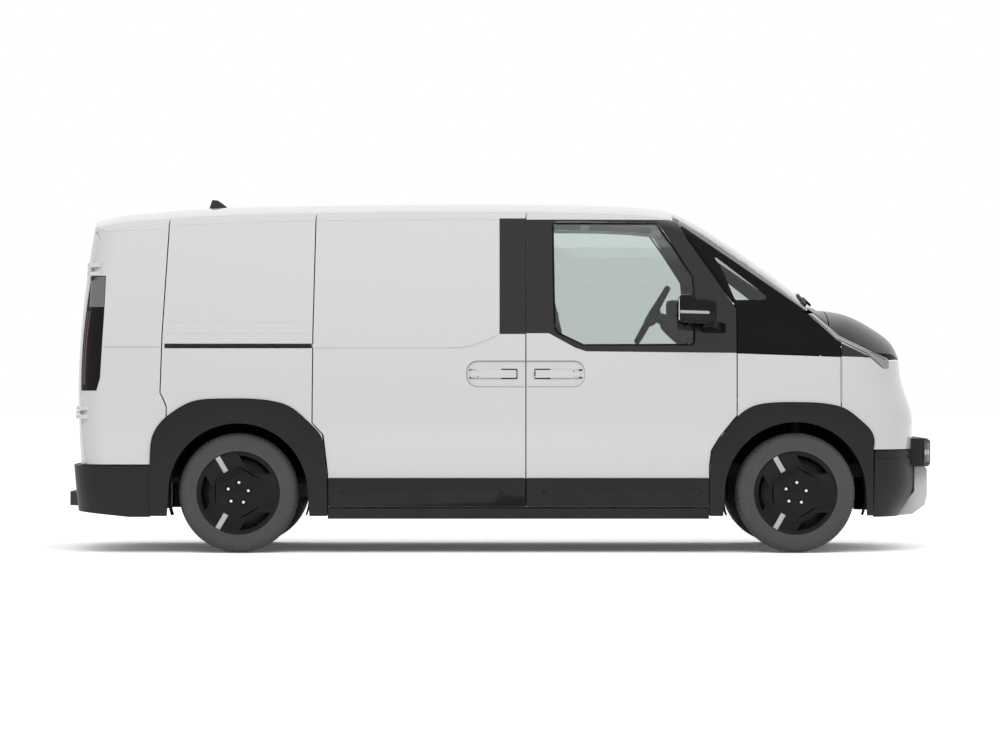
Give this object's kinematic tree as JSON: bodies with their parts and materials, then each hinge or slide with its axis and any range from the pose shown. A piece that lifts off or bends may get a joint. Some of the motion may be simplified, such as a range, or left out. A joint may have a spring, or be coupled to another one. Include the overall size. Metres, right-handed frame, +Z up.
{
  "type": "panel van",
  "caption": "Electric panel van with a one-box body, hinged front doors, twin rear doors, sliding side doors, bonnet, steered front wheels and a hollow cab and load space.",
  "frame": {"origin": "on the ground under the middle of the overall box", "axes": "+X forward, +Y to the left, +Z up"},
  "size_m": [4.695, 2.25, 1.9275],
  "materials": {
    "body_white": "gloss",
    "black_gloss": "gloss",
    "cladding": "matte",
    "silver_plastic": "satin",
    "lamp": "gloss",
    "tail_lamp": "gloss",
    "glass": "clear",
    "tyre": "matte",
    "wheel": "gloss",
    "chassis": "matte",
    "alloy": "satin",
    "interior_plastic": "matte",
    "seat_fabric": "woven",
    "floor_metal": "satin",
    "rail": "satin"
  },
  "bodies": {
    "body": {"floor_platform": "floor_metal", "wheel_liners": "cladding", "battery_pack": "alloy", "roof_panel": "body_white", "body_frame": "floor_metal", "quarter_panels": "body_white", "rear_corner_panels": "body_white", "sliding_doors": "body_white", "sliding_door_bands": "black_gloss", "sliding_door_trims": "cladding", "door_rails": "rail", "front_fenders": "body_white", "front_panel": "body_white", "pillar_covers": "black_gloss", "pillar_strips": "silver_plastic", "fixed_glass": "glass", "cowl": "black_gloss", "front_bumper": "cladding", "skid_plate": "silver_plastic", "rear_bumper": "cladding", "wheel_arch_trims": "cladding", "sill_trims": "cladding", "light_strips": "lamp", "tail_lamps": "tail_lamp", "rear_hinges": "body_white", "bulkhead": "floor_metal", "dashboard": "interior_plastic", "seat_bases": "interior_plastic", "seat_cushions": "seat_fabric", "seat_backs": "seat_fabric", "roof_antenna": "black_gloss", "front_suspension": "chassis", "drive_motor": "alloy", "rear_axle": "chassis"},
    "front_door_left": {"front_door_left": "body_white", "front_door_frame_left": "black_gloss", "door_mirror_left": "black_gloss", "front_door_glass_left": "glass", "front_door_trim_left": "cladding"},
    "rear_door_left": {"rear_door_left": "body_white"},
    "steer_left": {"knuckle_left": "chassis"},
    "wheel_front_left": {"tyre_front_left": "tyre", "wheel_front_left": "wheel"},
    "wheel_rear_left": {"tyre_rear_left": "tyre", "wheel_rear_left": "wheel"},
    "front_door_right": {"front_door_right": "body_white", "front_door_frame_right": "black_gloss", "door_mirror_right": "black_gloss", "front_door_glass_right": "glass", "front_door_trim_right": "cladding"},
    "rear_door_right": {"rear_door_right": "body_white"},
    "steer_right": {"knuckle_right": "chassis"},
    "wheel_front_right": {"tyre_front_right": "tyre", "wheel_front_right": "wheel"},
    "wheel_rear_right": {"tyre_rear_right": "tyre", "wheel_rear_right": "wheel"},
    "bonnet": {"bonnet": "black_gloss"},
    "steering_wheel": {"steering_wheel": "interior_plastic"}
  },
  "joints": [
    {"name": "front_door_left_hinge", "type": "hinge", "parent": "body", "child": "front_door_left", "pos_m": [1.262, 0.948, 0.9], "axis": [0, 0, -1], "range_deg": [0, 65]},
    {"name": "rear_door_left_hinge", "type": "hinge", "parent": "body", "child": "rear_door_left", "pos_m": [-2.27, 0.874, 0.755], "axis": [-0.0737, 0.0517, -0.9959], "range_deg": [0, 180]},
    {"name": "steering_left", "type": "hinge", "parent": "body", "child": "steer_left", "pos_m": [1.586, 0.775, 0.322], "axis": [0, 0, 1], "range_deg": [-35, 35]},
    {"name": "wheel_front_left_spin", "type": "hinge", "parent": "steer_left", "child": "wheel_front_left", "pos_m": [1.586, 0.805, 0.322], "axis": [0, 1, 0], "continuous": true},
    {"name": "wheel_rear_left_spin", "type": "hinge", "parent": "body", "child": "wheel_rear_left", "pos_m": [-1.41, 0.805, 0.322], "axis": [0, 1, 0], "continuous": true},
    {"name": "front_door_right_hinge", "type": "hinge", "parent": "body", "child": "front_door_right", "pos_m": [1.262, -0.948, 0.9], "axis": [0, 0, 1], "range_deg": [0, 65]},
    {"name": "rear_door_right_hinge", "type": "hinge", "parent": "body", "child": "rear_door_right", "pos_m": [-2.27, -0.874, 0.755], "axis": [0.0737, 0.0517, 0.9959], "range_deg": [0, 180]},
    {"name": "steering_right", "type": "hinge", "parent": "body", "child": "steer_right", "pos_m": [1.586, -0.775, 0.322], "axis": [0, 0, 1], "range_deg": [-35, 35]},
    {"name": "wheel_front_right_spin", "type": "hinge", "parent": "steer_right", "child": "wheel_front_right", "pos_m": [1.586, -0.805, 0.322], "axis": [0, 1, 0], "continuous": true},
    {"name": "wheel_rear_right_spin", "type": "hinge", "parent": "body", "child": "wheel_rear_right", "pos_m": [-1.41, -0.805, 0.322], "axis": [0, 1, 0], "continuous": true},
    {"name": "bonnet_hinge", "type": "hinge", "parent": "body", "child": "bonnet", "pos_m": [1.7, 0, 1.28], "axis": [0, -1, 0], "range_deg": [0, 50]},
    {"name": "steering_wheel_turn", "type": "hinge", "parent": "body", "child": "steering_wheel", "pos_m": [0.855, 0.4, 1.294], "axis": [-0.8678, 0, 0.4969], "range_deg": [-540, 540]}
  ],
  "couplings": [
    {"joint": "steering_right", "follows": "steering_left", "ratio": 1},
    {"joint": "steering_wheel_turn", "follows": "steering_left", "ratio": 15}
  ]
}
